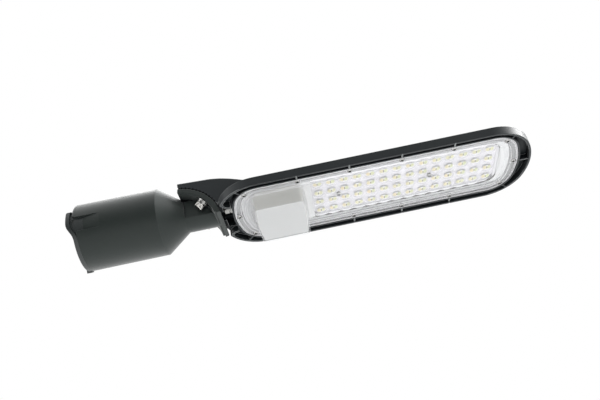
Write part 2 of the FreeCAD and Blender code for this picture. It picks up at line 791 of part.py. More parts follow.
def make_clamp_bolts():
    """Socket-head bolts that draw the saddle up into the tail."""
    out = around_tilt(1, bolt_angle) - around_tilt(0, bolt_angle)
    seat = washer_face_r() - washer_thickness - spring_washer_thickness
    bolts = []
    for side in (-1, 1):
        foot = around_tilt(seat - bolt_head_height, bolt_angle, side * bolt_y)
        head = rod(bolt_head_r, foot, out, bolt_head_height)
        shank = rod(bolt_r, foot, out, bolt_head_height + tail_r + bolt_reach - seat)
        corners = []
        for k in range(6):
            turn = radians(60 * k)
            corners.append(Vector(bolt_socket_r * cos(turn), bolt_socket_r * sin(turn), -1))
        key = Part.Face(Part.makePolygon(corners + corners[:1])).extrude(Vector(0, 0, bolt_socket_depth + 1))
        key.rotate(Vector(0, 0, 0), Vector(0, 1, 0), 90 - bolt_angle)
        key.translate(foot)
        bolts.append(head.fuse(shank).cut(key).removeSplitter())
    return Part.makeCompound(bolts)


def bump(shrink):
    """Drafted box over the driver, bowed at the socket's end, made smaller all round by a wall."""
    rim = oblong(bump_rim, shrink, seat_height)
    base = oblong(bump_base, shrink, bump_bottom + shrink)
    return Part.makeLoft([rim, base], True, True)


def make_cover():
    """Clear moulding: flange with a bead round its rim, two steps, window and the bump over the driver."""
    top = cover_face + flange_thickness
    outer = [bump(0).common(slab(cover_outline, 0, 2 * bump_bottom, top))]
    inner = [bump(bump_wall)]
    for i in range(1, step_count + 1):
        inset = flange_width + (i - 1) * step_width
        rise = cover_face - i * step_rise
        outer.append(slab(cover_outline, inset, rise, top))
        inner.append(slab(cover_outline, inset + cover_wall, rise + cover_wall, top + 1))
    flange = slab(cover_outline, 0, cover_face - rim_bead_rise, top)
    body = flange.cut(slab(cover_outline, rim_bead_width, 0, cover_face)).fuse(outer)
    cuts = list(inner)
    for x, y, turn in cover_screw_places():
        cuts.append(post(cover_screw_r + screw_hole_clearance, x, y, 0, top + 1))
        cuts.append(post(notch_r, x, y, 0, cover_face + notch_depth))
    return body.cut(cuts).removeSplitter()


def make_gasket():
    """Flat seal between the flange and the casting."""
    low = cover_face + flange_thickness
    ring = slab(cover_outline, gasket_margin, low, low + gasket_thickness)
    holes = [slab(cover_outline, gasket_margin + gasket_width, low - 1, low + gasket_thickness + 1)]
    for x, y, turn in cover_screw_places():
        holes.append(post(cover_screw_r + screw_hole_clearance, x, y, low - 1, low + gasket_thickness + 1))
    return ring.cut(holes)


def pan_screw(x, y, head_h, head_r, head_height, shank_r, tip_h):
    """Upright screw with its head towards the ground and its tip in the casting."""
    middle = head_h - head_height / 2
    head = Part.makeCone(head_r, screw_head_taper * head_r, head_height / 2, Vector(x, y, level(middle)),
                         Vector(0, 0, -1))
    body = head.fuse([post(head_r, x, y, middle, head_h), post(shank_r, x, y, middle, tip_h)])
    return body.removeSplitter()


def make_cover_screws():
    screws = []
    for x, y, turn in cover_screw_places():
        screws.append(pan_screw(x, y, cover_face + notch_depth, cover_screw_head_r, cover_screw_head_height,
                                cover_screw_r, seat_height + cover_screw_grip - screw_tip_gap))
    return Part.makeCompound(screws)


def led_places():
    places = []
    for row in range(led_rows):
        for column in range(led_columns):
            places.append((led_first_x + column * led_pitch_x, row * led_pitch_y - led_half_span))
    return places


def lens_screw_xs():
    return [led_first_x + column * led_pitch_x for column in lens_screw_columns]


def make_board():
    """Aluminium circuit board flat on the casting."""
    board = round_block(board_low_x, board_high_x, board_half_width, board_corner_r, board_face, cavity_roof)
    hole_r = lens_screw_r + screw_hole_clearance
    return board.cut([post(hole_r, x, 0, board_face - 1, cavity_roof + 1) for x in lens_screw_xs()])


def make_leds():
    chips = []
    for x, y in led_places():
        chips.append(box(x - led_length / 2, x + led_length / 2, y - led_width / 2, y + led_width / 2,
                         level(board_face - led_height), level(board_face)))
    return Part.makeCompound(chips)


def lens_outline(z):
    """Plate edge: scallops beside all columns but the last, which has a round corner on each side."""
    cusp = lens_half_width - scallop_depth
    corner_x = lens_high_x - plate_corner_r
    corner_y = cusp - plate_corner_r
    slant = plate_corner_r * cos(radians(45))
    last_x = lens_high_x - lens_end_margin - led_pitch_x / 2
    edges = [Part.makeLine(Vector(lens_low_x, -cusp, z), Vector(lens_low_x, cusp, z))]
    edges.append(Part.makeLine(Vector(lens_high_x, -corner_y, z), Vector(lens_high_x, corner_y, z)))
    for side in (-1, 1):
        for i in range(led_columns - 1):
            x = lens_low_x + i * led_pitch_x
            crest = Vector(x + led_pitch_x / 2, side * lens_half_width, z)
            end = Vector(x + led_pitch_x, side * cusp, z)
            edges.append(Part.Arc(Vector(x, side * cusp, z), crest, end).toShape())
        edges.append(Part.makeLine(Vector(last_x, side * cusp, z), Vector(corner_x, side * cusp, z)))
        edges.append(Part.Arc(Vector(corner_x, side * cusp, z),
                              Vector(corner_x + slant, side * (corner_y + slant), z),
                              Vector(lens_high_x, side * corner_y, z)).toShape())
    return Part.Wire(Part.sortEdges(edges)[0])


def make_lens_plate():
    """Moulded plate with one lens over every emitter and scalloped long edges."""
    z = level(lens_face)
    plate = Part.Face(lens_outline(z)).extrude(Vector(0, 0, lens_base_thickness))
    cap_r = (lens_r ** 2 + lens_rise ** 2) / (2 * lens_rise)
    half_length = led_length / 2 + lens_pocket_margin
    half_width = led_width / 2 + lens_pocket_margin
    domes = []
    cuts = []
    for x, y in led_places():
        ball = Part.makeSphere(cap_r, Vector(x, y, z - lens_rise + cap_r))
        disc = post(lens_r + 1, x, y, lens_face - lens_rise, lens_face + lens_pocket_margin / 2)
        domes.append(ball.common(disc))
        cuts.append(box(x - half_length, x + half_length, y - half_width, y + half_width,
                        level(board_face - lens_pocket_depth), level(board_face + 1)))
    for x in lens_screw_xs():
        cuts.append(post(lens_screw_r + screw_hole_clearance, x, 0, 0, board_face + 1))
    return plate.fuse(domes).cut(cuts)


def make_lens_screws():
    screws = []
    for x in lens_screw_xs():
        screws.append(pan_screw(x, 0, lens_face, lens_screw_head_r, lens_screw_head_height, lens_screw_r,
                                cavity_roof + lens_screw_grip - screw_tip_gap))
    return Part.makeCompound(screws)


def tray_foot_places():
    """Where the tray's feet stand: along both long edges and at the driver's end."""
    y = (lens_half_width + cover_half_width - seat_width) / 2
    places = []
    for side in (-1, 1):
        places.append((tray_end_foot_x, side * tray_end_foot_y))
        for x in (led_first_x, (led_first_x + led_last_x) / 2, led_last_x - plate_corner_r):
            places.append((x, side * y))
    return places


def make_tray():
    """White frame on feet under the roof, with a shallow well, open for the lenses and the driver."""
    top = tray_face + tray_thickness
    sheet = slab(cover_outline, seat_width + tray_gap, tray_face, top)
    feet = [post(tray_foot_r, x, y, tray_face, cavity_roof) for x, y in tray_foot_places()]
    half_width = lens_half_width + tray_gap
    middle = (lens_low_x + lens_high_x) / 2
    cuts = [slab(tray_well, 0, 0, tray_face + tray_step)]
    cuts.append(round_block(lens_low_x, lens_high_x + tray_gap, half_width, plate_corner_r + tray_gap,
                            0, top + 1))
    cuts.append(box(lens_low_x - tray_gap, middle, -half_width, half_width, lip_z, level(top + 1)))
    cuts.append(round_block(driver_low_x - tray_gap, driver_high_x + tray_gap, driver_half_width + tray_gap,
                            driver_corner_r + tray_gap, 0, top + 1))
    return sheet.cut(cuts).fuse(feet)


def driver_screw_places():
    middle = (driver_low_x + driver_high_x) / 2
    return [(middle, side * (driver_half_width + driver_ear_length / 2)) for side in (-1, 1)]


def make_driver_case():
    """White case that fills the bump, with a narrower neck up to the casting and two ears for screws."""
    shrink = bump_wall + driver_clearance
    low = bump_bottom + shrink
    shelf = driver_shoulder - driver_wall
    above = box(cover_low_x, cover_high_x, -cover_half_width, cover_half_width, level(driver_shoulder),
                level(bay_roof))
    inside = above.copy()
    inside.translate(Vector(0, 0, -driver_wall))
    neck = round_block(driver_low_x, driver_high_x, driver_half_width, driver_corner_r, shelf, cavity_roof)
    core = round_block(driver_low_x + driver_wall, driver_high_x - driver_wall,
                       driver_half_width - driver_wall, driver_corner_r - driver_wall,
                       low + driver_wall, cavity_roof + 1)
    middle = (driver_low_x + driver_high_x) / 2
    ear_y = driver_half_width + driver_ear_length
    ear_face = cavity_roof - driver_ear_thickness
    ears = box(middle - driver_ear_width / 2, middle + driver_ear_width / 2, -ear_y, ear_y,
               level(ear_face), level(cavity_roof))
    cuts = [core, bump(shrink + driver_wall).cut(inside)]
    for x, y in driver_screw_places():
        cuts.append(post(driver_screw_r + screw_hole_clearance, x, y, ear_face, cavity_roof + 1))
        cuts.append(post(driver_screw_head_r + screw_hole_clearance, x, y, ear_face - 1,
                         ear_face + driver_screw_head_height))
    return bump(shrink).cut(above).fuse([neck, ears]).cut(cuts)


def make_driver_board():
    """Circuit board across the driver case."""
    gap = driver_wall + driver_board_gap
    top = driver_parts_face() + driver_board_thickness
    return round_block(driver_low_x + gap, driver_high_x - gap, driver_half_width - gap,
                       driver_corner_r - driver_wall, driver_parts_face(), top)


def driver_parts_face():
    """Height of the board's lower face, which carries the parts."""
    return cavity_roof - driver_board_inset - driver_board_thickness


def make_transformer():
    """Block of the wound transformer on the driver board."""
    x = (driver_low_x + driver_high_x) / 2
    y = -driver_half_width / 3
    half = transformer_size / 2
    face = driver_parts_face()
    return box(x - half, x + half, y - half, y + half, level(face - transformer_height), level(face))


def make_capacitors():
    """Two cans that stand on the driver board beside the transformer."""
    middle = (driver_low_x + driver_high_x) / 2
    face = driver_parts_face()
    y = driver_half_width - driver_wall - driver_board_gap - capacitor_r - capacitor_gap
    cans = []
    for side in (-1, 1):
        x = middle + side * (capacitor_r + capacitor_gap)
        cans.append(post(capacitor_r, x, y, face - capacitor_length, face))
    return Part.makeCompound(cans)


def make_driver_screws():
    face = cavity_roof - driver_ear_thickness + driver_screw_head_height
    screws = []
    for x, y in driver_screw_places():
        screws.append(pan_screw(x, y, face, driver_screw_head_r, driver_screw_head_height, driver_screw_r,
                                cavity_roof + driver_screw_grip - screw_tip_gap))
    return Part.makeCompound(screws)


def make_gland_body():
    """Gland body: neck outside, hexagon on the wall, thread through it."""
    along = Vector(1, 0, 0)
    hex_start = Vector(gland_wall_x - gland_hex_length, 0, gland_z)
    body = hexagon(gland_hex_r, hex_start, along, gland_hex_length)
    neck = rod(gland_thread_r, hex_start - along * gland_neck_length, along,
               gland_neck_length + gland_hex_length)
    thread = rod(gland_thread_r, Vector(gland_wall_x, 0, gland_z), along, gland_wall)
    bore = rod(gland_bore_r, hex_start - along * 2 * gland_neck_length, along,
               2 * gland_neck_length + gland_hex_length + 2 * gland_wall)
    return body.fuse([neck, thread]).cut(bore).removeSplitter()


def gland_nut_start():
    return gland_wall_x - gland_hex_length - gland_nut_length


def make_gland_nut():
    """Domed cap nut on the gland's neck."""
    start = gland_nut_start()
    rim = start + gland_nut_length - gland_neck_length
    end = start + gland_nut_length
    seat_r = gland_thread_r + thread_clearance
    points = [(start, gland_bore_r), (start, gland_thread_r), (start + gland_nut_chamfer, gland_nut_r)]
    points += [(end - gland_nut_gap, gland_nut_r), (end - gland_nut_gap, seat_r)]
    points += [(rim - gland_nut_gap, seat_r), (rim - gland_nut_gap, gland_bore_r)]
    nut = lathe(points)
    nut.translate(Vector(0, 0, gland_z))
    return nut


def make_gland_seal():
    """Rubber insert, closed by a web until a cable is pushed through."""
    start = gland_nut_start() + gland_seal_setback
    end = gland_wall_x
    outer = gland_bore_r - thread_clearance
    seal = rod(outer, Vector(start, 0, gland_z), Vector(1, 0, 0), end - start)
    return seal.cut(rod(outer - gland_seal_web, Vector(start, 0, gland_z), Vector(1, 0, 0),
                        end - start - gland_seal_web))


def terminal_xs():
    return bay_low_x + terminal_setback, bay_low_x + terminal_setback + terminal_length


def terminal_ys():
    pitch = 2 * terminal_half_width / terminal_poles
    return [(i - (terminal_poles - 1) / 2) * pitch for i in range(terminal_poles)]


def make_terminal_block():
    """Three-pole block on the roof of the bay."""
    x0, x1 = terminal_xs()
    middle = (x0 + x1) / 2
    face = bay_roof - terminal_height
    block = box(x0, x1, -terminal_half_width, terminal_half_width, level(face), level(bay_roof))
    ys = terminal_ys()
    cuts = [post(terminal_screw_r, middle, y, face - 1, face + terminal_screw_depth) for y in ys]
    for a, b in zip(ys, ys[1:]):
        y = (a + b) / 2
        cuts.append(box(x0 - 1, x1 + 1, y - terminal_slot / 2, y + terminal_slot / 2, level(face - 1),
                        level(face + terminal_slot_depth)))
    return block.cut(cuts)


def make_terminal_screws():
    x0, x1 = terminal_xs()
    face = bay_roof - terminal_height
    screws = []
    for y in terminal_ys():
        screws.append(post(terminal_screw_r - thread_clearance, (x0 + x1) / 2, y, face + terminal_screw_sink,
                           face + terminal_screw_depth))
    return Part.makeCompound(screws)


def make_mains_leads():
    """Leads from the terminal block over the driver case's wall and down to its board."""
    x0, x1 = terminal_xs()
    high = level(bay_roof - terminal_height / 2)
    low = level(cavity_roof - driver_board_inset)
    turn_x = x1 + lead_straight
    slant = lead_bend_r * sin(radians(45))
    leads = []
    for y in terminal_ys():
        start = Vector(x1, y, high)
        turn = Vector(turn_x, y, high)
        bend = Vector(turn_x + slant, y, high - lead_bend_r + slant)
        down = Vector(turn_x + lead_bend_r, y, high - lead_bend_r)
        path = [Part.makeLine(start, turn), Part.Arc(turn, bend, down).toShape()]
        path.append(Part.makeLine(down, Vector(down.x, y, low)))
        ring = Part.Wire(Part.makeCircle(lead_r, start, Vector(1, 0, 0)))
        leads.append(Part.Wire(path).makePipeShell([ring], True, False))
    return Part.makeCompound(leads)


save(make_arm(), "arm_socket")
save(make_collar(), "socket_collar")
save(make_set_screws(), "set_screws")
save(make_housing(), "head_housing")
save(make_clamp_bolts(), "clamp_bolts")
save(make_spring_washers(), "spring_washers")
save(make_flat_washers(), "flat_washers")
save(make_gasket(), "cover_gasket")
save(make_cover(), "clear_cover")
save(make_cover_screws(), "cover_screws")
save(make_tray(), "reflector_tray")
save(make_board(), "led_board")
save(make_leds(), "led_chips")
save(make_lens_plate(), "lens_plate")
save(make_lens_screws(), "lens_screws")
save(make_driver_case(), "driver_case")
save(make_driver_board(), "driver_board")
save(make_transformer(), "driver_transformer")
save(make_capacitors(), "driver_capacitors")
save(make_driver_screws(), "driver_screws")
save(make_gland_body(), "gland_body")
save(make_gland_nut(), "gland_nut")
save(make_gland_seal(), "gland_seal")
save(make_terminal_block(), "terminal_block")
save(make_terminal_screws(), "terminal_screws")
save(make_mains_leads(), "mains_leads")
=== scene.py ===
from math import cos, pi, radians, sin, sqrt
import bmesh
import bpy
from mathutils import Matrix, Vector


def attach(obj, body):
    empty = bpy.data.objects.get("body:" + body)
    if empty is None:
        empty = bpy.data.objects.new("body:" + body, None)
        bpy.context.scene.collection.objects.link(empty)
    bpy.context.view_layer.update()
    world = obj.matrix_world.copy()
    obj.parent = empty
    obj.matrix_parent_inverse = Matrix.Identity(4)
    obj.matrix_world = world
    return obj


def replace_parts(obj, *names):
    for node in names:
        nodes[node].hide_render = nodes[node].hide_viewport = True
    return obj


# LED street light head: looks, camera and studio. Metres, in the CAD frame.

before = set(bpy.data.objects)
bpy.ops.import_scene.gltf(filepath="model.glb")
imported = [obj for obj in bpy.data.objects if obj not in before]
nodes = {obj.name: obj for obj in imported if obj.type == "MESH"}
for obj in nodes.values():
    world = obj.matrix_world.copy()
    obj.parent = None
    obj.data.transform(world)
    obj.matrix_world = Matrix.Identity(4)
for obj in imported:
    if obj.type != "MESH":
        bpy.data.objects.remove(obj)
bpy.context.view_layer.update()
head_body = "head"

# Camera, as fitted to the photograph
camera_place = Vector((0.1515, -0.6327, -0.42315))
camera_azimuth = radians(0.179)
camera_elevation = radians(-33.3)
camera_roll = radians(-11.59)
camera_clip_start = 0.01
focal_pixels = 726.17
image_width = 600
sensor_width = 36.0

# Studio: the surroundings are bright behind the lamp and dim on the camera's side
floor_height = -0.95
floor_size = 8.0
far_strength = 1.4
near_strength = 0.12
fade_start = -0.3
fade_end = 0.85
white_ground = 1.0
camera_side = (0.0, -0.836, -0.549)

# Area lights: name, place, point aimed at, size and power
lamps = (
    ("tip_light", (1.3, 0.1, 0.9), (0.35, 0, 0), 0.7, 32.0),
    ("key_light", (0.15, 1.6, 3.2), (0.15, 0, 0), 2.0, 45.0),
)

# Broad and fine noise of the finishes
broad_scale = 14.0
fine_detail = 2.0
tone_start = 0.35
tone_end = 0.65
roughness_spread = 0.04
grain_depth = 0.0002
rounding_samples = 4

# Painted shade in narrow recesses: dull where little is open round a point and plain where most is
painted_shade_colour = (0.006, 0.007, 0.008)
recess_closed = 0.15
recess_open = 0.75
recess_samples = 6

# Painted highlights and painted shade along edges
edge_samples = 6
edge_limit = 0.9

# Clear mouldings
hair_gap = 0.00004
clear_grain = 900.0
clear_grain_strength = 0.03
clear_grain_depth = 0.0001
clear_edge_gain = 4.0
gloss_power = 5.0
gloss_face_on = 0.04

# Finishes: material, its nodes, low and high colour, roughness, grain's scale and strength, metal share
plain_finishes = (
    ("collar_plastic", ("socket_collar",),
     (0.022, 0.027, 0.027), (0.028, 0.033, 0.033), 0.4, 500.0, 0.2, 0.0),
    ("bright_steel", ("set_screws", "clamp_bolts", "spring_washers", "flat_washers", "cover_screws",
                      "lens_screws", "driver_screws", "terminal_screws"),
     (0.55, 0.55, 0.54), (0.68, 0.68, 0.66), 0.28, 700.0, 0.2, 1.0),
    ("seal_rubber", ("gland_seal",),
     (0.015, 0.015, 0.015), (0.02, 0.02, 0.02), 0.7, 400.0, 0.3, 0.0),
    ("silicone", ("cover_gasket",),
     (0.18, 0.185, 0.185), (0.22, 0.225, 0.225), 0.6, 400.0, 0.2, 0.0),
    ("white_plastic", ("terminal_block",),
     (0.78, 0.78, 0.78), (0.82, 0.82, 0.82), 0.45, 600.0, 0.15, 0.0),
    ("white_board", ("led_board",),
     (0.86, 0.845, 0.875), (0.9, 0.885, 0.915), 0.4, 500.0, 0.1, 0.0),
    ("led_package", ("led_chips",),
     (0.8, 0.8, 0.8), (0.86, 0.86, 0.86), 0.35, 500.0, 0.1, 0.0),
    ("green_board", ("driver_board",),
     (0.03, 0.16, 0.06), (0.04, 0.2, 0.08), 0.4, 500.0, 0.1, 0.0),
    ("core", ("driver_transformer",),
     (0.05, 0.045, 0.04), (0.07, 0.06, 0.05), 0.6, 500.0, 0.2, 0.0),
    ("can", ("driver_capacitors",),
     (0.5, 0.5, 0.5), (0.6, 0.6, 0.6), 0.3, 500.0, 0.1, 1.0),
    ("lead_sleeve", ("mains_leads",),
     (0.3, 0.05, 0.03), (0.35, 0.07, 0.04), 0.45, 500.0, 0.1, 0.0),
)

# Plane of the skirt's lip, from which heights are counted as in the CAD model
lip_z = -0.01535

# Outline of the cover
cover_low_x = 0.08075
cover_high_x = 0.37835
cover_half_width = 0.0462
cover_corner_r = 0.026
cover_end_r = 0.1

# Haze of the cover's faces by their height: bead, flange, step and window
cover_milk = ((0.0014, 0.28), (0.0021, 0.12), (0.0013, 0.18), (0.0005, 0.04))

# Channel between the ring wall and the skirt, by its reach beyond the cover's outline
ring_reach = 0.0024
skirt_reach = 0.0062
tip_reach = 0.0108
channel_roof_z = -0.005

# Crests of the side ribs, by their reach beyond the cover's outline, and the lighter grey painted on them
# as a highlight
crest_start = 0.0006
crest_end = 0.0088
crest_half_width = 0.0007
crest_highlight_grey = (0.13, 0.14, 0.14)

# Painted shade on the frame sheet: grey on its narrow strips, dark on its walls beside the cusps of the
# lens plate
strip_y = 0.0346
strip_x = 0.118
strip_painted_shade = (0.36, 0.36, 0.37)
cusp_half_length = 0.0036
# Dark of the painted shade beside the cusps, also the LED's own dark gap between its two fields
shade_and_led_gap_dark = (0.05, 0.05, 0.04)

# Bottom of the driver case, painted darker than its walls as shade
case_bottom_painted_shade = (0.46, 0.46, 0.46)

# Height part of the normal: below the first a face looks down, within the second it is a wall
down_limit = -0.7
wall_limit = 0.5

# Rim of the lens plate beyond the board
board_edge_y = 0.0316
board_edge_x = 0.3559
rim_milk = 0.8
end_share = 0.6

# LEDs, as the lenses enlarge them: a white package with two phosphor fields and a dark gap
led_first_x = 0.16965
led_pitch_x = 0.01374
led_pitch_y = 0.0161
led_columns = 14
led_rows = 4
field_offset = 0.0022
field_half_length = 0.0021
field_half_width = 0.0033
gap_half_length = 0.0005
gap_half_width = 0.0024
field_softness = 0.5
picture_half_length = 0.0046
picture_half_width = 0.0040
picture_height = 0.0060
picture_crown = 0.0004
picture_steps = 32
picture_ring_shares = (0.5, 1.0)
picture_roughness = 0.3
phosphor_scale = 60.0
phosphor_warm = (0.82, 0.66, 0.36)
phosphor_green = (0.56, 0.62, 0.28)
phosphor_mean = (0.68, 0.66, 0.36)
package_white = (0.88, 0.88, 0.9)

# Cross-recess screws of the cover
screw_inset = 0.004
side_screw_x = 0.1506
side_screw_pitch = 0.0529
side_screw_count = 4
corner_screw_angle = radians(50)
cover_screw_face = 0.0011
cover_screw_head_r = 0.0028
cover_screw_length = 0.008

# Cross-recess screws of the lens plate, whose columns are counted from the first LED
lens_screw_face = 0.0038
lens_screw_head_r = 0.0027
lens_screw_length = 0.0079
lens_screw_columns = (1.5, 8.5)

# Shape of both kinds of screw; the head's profile gives shares of its radius with depths below its face
screw_head_profile = ((0, 0), (0.45, 0.000025), (0.7, 0.00025), (0.88, 0.000576), (0.97, 0.00099),
                      (1, 0.00144), (1, 0.0018))
screw_head_height = 0.0018
screw_r = 0.0015
screw_tip_share = 0.3
screw_steps = 32
screw_turn = radians(37)
cross_length = 0.0021
cross_width = 0.0008
cross_depth = 0.0012
cross_taper = 0.55
smooth_angle = radians(28)

# Clamp bolts of the tilt joint
tilt_axis = Vector((0.0225, 0, -0.02615))
bolt_angle = radians(43.5)
bolt_y = 0.0195
bolt_foot_r = 0.03146
bolt_head_r = 0.0044
bolt_head_height = 0.0054
bolt_chamfer = 0.0005
bolt_r = 0.003
bolt_length = 0.02489
bolt_tip_chamfer = 0.0006
bolt_socket_r = 0.0031
bolt_socket_depth = 0.003
knurl_count = 40
knurl_depth = 0.00018
knurl_end = 0.0042
knurled_points = (2, 3)
band_start = 0.0045
band_end = 0.0050


def make_camera():
    """Camera below the lamp on its near side, looking up at it with a roll."""
    right = Vector((cos(camera_azimuth), sin(camera_azimuth), 0))
    back = Vector((sin(camera_azimuth) * cos(camera_elevation),
                   -cos(camera_azimuth) * cos(camera_elevation),
                   sin(camera_elevation)))
    up = back.cross(right)
    rolled_right = cos(camera_roll) * right + sin(camera_roll) * up
    rolled_up = -sin(camera_roll) * right + cos(camera_roll) * up
    data = bpy.data.cameras.new("camera")
    data.sensor_width = sensor_width
    data.lens = focal_pixels / image_width * sensor_width
    data.clip_start = camera_clip_start
    camera = bpy.data.objects.new("camera", data)
    turn = Matrix((rolled_right, rolled_up, back)).transposed().to_4x4()
    camera.matrix_world = Matrix.Translation(camera_place) @ turn
    bpy.context.scene.collection.objects.link(camera)
    bpy.context.scene.camera = camera


def new_material(name):
    """Empty node material with its output."""
    material = bpy.data.materials.new(name)
    material.use_nodes = True
    tree = material.node_tree
    tree.nodes.clear()
    output = tree.nodes.new("ShaderNodeOutputMaterial")
    return material, tree, output


def add_node(tree, kind, **values):
    """New shader node with its input sockets set."""
    node = tree.nodes.new(kind)
    for name, value in values.items():
        node.inputs[name.replace("_", " ")].default_value = value
    return node


def math_node(tree, operation, *values):
    """Result of a math node on links or numbers."""
    node = tree.nodes.new("ShaderNodeMath")
    node.operation = operation
    for slot, value in zip(node.inputs, values):
        if isinstance(value, float):
            slot.default_value = value
        else:
            tree.links.new(value, slot)
    return node.outputs["Value"]


def map_range(tree, value, from_range=(0.0, 1.0), to_range=(0.0, 1.0), smooth=False):
    """Value moved from one range to another and kept inside it."""
    node = add_node(tree, "ShaderNodeMapRange", From_Min=from_range[0], From_Max=from_range[1],
                    To_Min=to_range[0], To_Max=to_range[1])
    if smooth:
        node.interpolation_type = "SMOOTHSTEP"
    tree.links.new(value, node.inputs["Value"])
    return node.outputs["Result"]


def mix_shaders(tree, share, first, second):
    """Surface between two surfaces, all of it the first where the share is 0."""
    node = tree.nodes.new("ShaderNodeMixShader")
    tree.links.new(share, node.inputs["Fac"])
    tree.links.new(first, node.inputs[1])
    tree.links.new(second, node.inputs[2])
    return node.outputs["Shader"]


def mix_colours(tree, share, first, second):
    """Colour between two colours or links, all of it the first where the share is 0."""
    node = tree.nodes.new("ShaderNodeMix")
    node.data_type = "RGBA"
    tree.links.new(share, node.inputs["Factor"])
    for slot, value in ((node.inputs[6], first), (node.inputs[7], second)):
        if isinstance(value, tuple):
            slot.default_value = (*value, 1)
        else:
            tree.links.new(value, slot)
    return node.outputs[2]


def noise(tree, scale, detail=3.0):
    """Value of a noise in object space."""
    coordinates = tree.nodes.new("ShaderNodeTexCoord")
    texture = add_node(tree, "ShaderNodeTexNoise", Scale=scale, Detail=detail)
    tree.links.new(coordinates.outputs["Object"], texture.inputs["Vector"])
    return texture.outputs["Fac"]


def colour_ramp(tree, source, low, high):
    """Colour that runs between two values with a noise."""
    node = tree.nodes.new("ShaderNodeValToRGB")
    ends = node.color_ramp.elements
    ends[0].position = tone_start
    ends[0].color = (*low, 1)
    ends[1].position = tone_end
    ends[1].color = (*high, 1)
    tree.links.new(source, node.inputs["Fac"])
    return node.outputs["Color"]


def bump(tree, source, strength, depth):
    """Bump node on a noise."""
    node = add_node(tree, "ShaderNodeBump", Strength=strength, Distance=depth)
    tree.links.new(source, node.inputs["Height"])
    return node


def position(tree, axis):
    """Coordinate of the shaded point in its own frame."""
    place = tree.nodes.new("ShaderNodeTexCoord")
    split = tree.nodes.new("ShaderNodeSeparateXYZ")
    tree.links.new(place.outputs["Object"], split.inputs["Vector"])
    return split.outputs[axis]


def from_pattern(tree, axis, first, pitch):
    """Distance along an axis from the nearest place of a regular pattern."""
    offset = math_node(tree, "SUBTRACT", position(tree, axis), first)
    return math_node(tree, "WRAP", offset, pitch / 2, -pitch / 2)


def upwards(tree):
    """Height part of the surface normal."""
    plain = tree.nodes.new("ShaderNodeNewGeometry")
    split = tree.nodes.new("ShaderNodeSeparateXYZ")
    tree.links.new(plain.outputs["Normal"], split.inputs["Vector"])
    return split.outputs["Z"]


def facing_down(tree):
    """1 on faces that look down."""
    return math_node(tree, "LESS_THAN", upwards(tree), down_limit)


def at_height(tree, height):
    """1 on a face of a shrunk clear node at a height above the lip plane."""
    return math_node(tree, "COMPARE", position(tree, "Z"), lip_z + height + hair_gap, hair_gap)


def in_channel(tree):
    """1 between the ring wall and the skirt and towards the tail, where the ribs' corners get a painted
    highlight.
    """
    side = math_node(tree, "ABSOLUTE", position(tree, "Y"))
    bow = math_node(tree, "DIVIDE", math_node(tree, "MULTIPLY", side, side), 2 * cover_end_r)
    high = math_node(tree, "ADD", position(tree, "X"), bow)
    low = math_node(tree, "SUBTRACT", position(tree, "X"), bow)
    beyond_side = math_node(tree, "GREATER_THAN", side, cover_half_width + ring_reach)
    beyond_tip = math_node(tree, "GREATER_THAN", high, cover_high_x + ring_reach)
    beyond_tail = math_node(tree, "LESS_THAN", low, cover_low_x - ring_reach)
    beyond_ends = math_node(tree, "MAXIMUM", beyond_tip, beyond_tail)
    beyond_ring = math_node(tree, "MAXIMUM", beyond_side, beyond_ends)
    within_side = math_node(tree, "LESS_THAN", side, cover_half_width + skirt_reach)
    within_tip = math_node(tree, "LESS_THAN", high, cover_high_x + tip_reach)
    within_skirt = math_node(tree, "MINIMUM", within_side, within_tip)
    below = math_node(tree, "LESS_THAN", position(tree, "Z"), channel_roof_z)
    return math_node(tree, "MULTIPLY", math_node(tree, "MULTIPLY", beyond_ring, within_skirt), below)


def rib_crests(tree):
    """1 on the downward faces of the side ribs' crests, from the cover's edge across the ring wall to the
    skirt, where a lighter tone is painted as a highlight.
    """
    side = math_node(tree, "ABSOLUTE", position(tree, "Y"))
    beyond_cover = math_node(tree, "GREATER_THAN", side, cover_half_width + crest_start)
    within_skirt = math_node(tree, "LESS_THAN", side, cover_half_width + crest_end)
    crests = 0.0
    for i in range(side_screw_count):
        offset = math_node(tree, "SUBTRACT", position(tree, "X"), side_screw_x + i * side_screw_pitch)
        near = math_node(tree, "LESS_THAN", math_node(tree, "ABSOLUTE", offset), crest_half_width)
        crests = math_node(tree, "MAXIMUM", crests, near)
    band = math_node(tree, "MULTIPLY", beyond_cover, within_skirt)
    return math_node(tree, "MULTIPLY", math_node(tree, "MULTIPLY", band, crests), facing_down(tree))


def in_shaded_strips(tree):
    """1 on the frame sheet's narrow strips, which are painted grey as the shade that falls in them."""
    side = math_node(tree, "GREATER_THAN", math_node(tree, "ABSOLUTE", position(tree, "Y")), strip_y)
    end = math_node(tree, "LESS_THAN", position(tree, "X"), strip_x)
    return math_node(tree, "MAXIMUM", side, end)


def cusp_gap(tree):
    """1 on the frame's inner walls beside the cusps of the lens plate, where the open gap is painted dark
    as shade.
    """
    wall = math_node(tree, "LESS_THAN", math_node(tree, "ABSOLUTE", upwards(tree)), wall_limit)
    across = from_pattern(tree, "X", led_first_x + led_pitch_x / 2, led_pitch_x)
    near = math_node(tree, "LESS_THAN", math_node(tree, "ABSOLUTE", across), cusp_half_length)
    return math_node(tree, "MULTIPLY", wall, near)


def beyond_board(tree):
    """1 on the lens plate's rim beside the board, where it carries light inside, and less at its end."""
    side = math_node(tree, "GREATER_THAN", math_node(tree, "ABSOLUTE", position(tree, "Y")), board_edge_y)
    end = math_node(tree, "GREATER_THAN", position(tree, "X"), board_edge_x)
    return math_node(tree, "MAXIMUM", side, math_node(tree, "MULTIPLY", end, end_share))


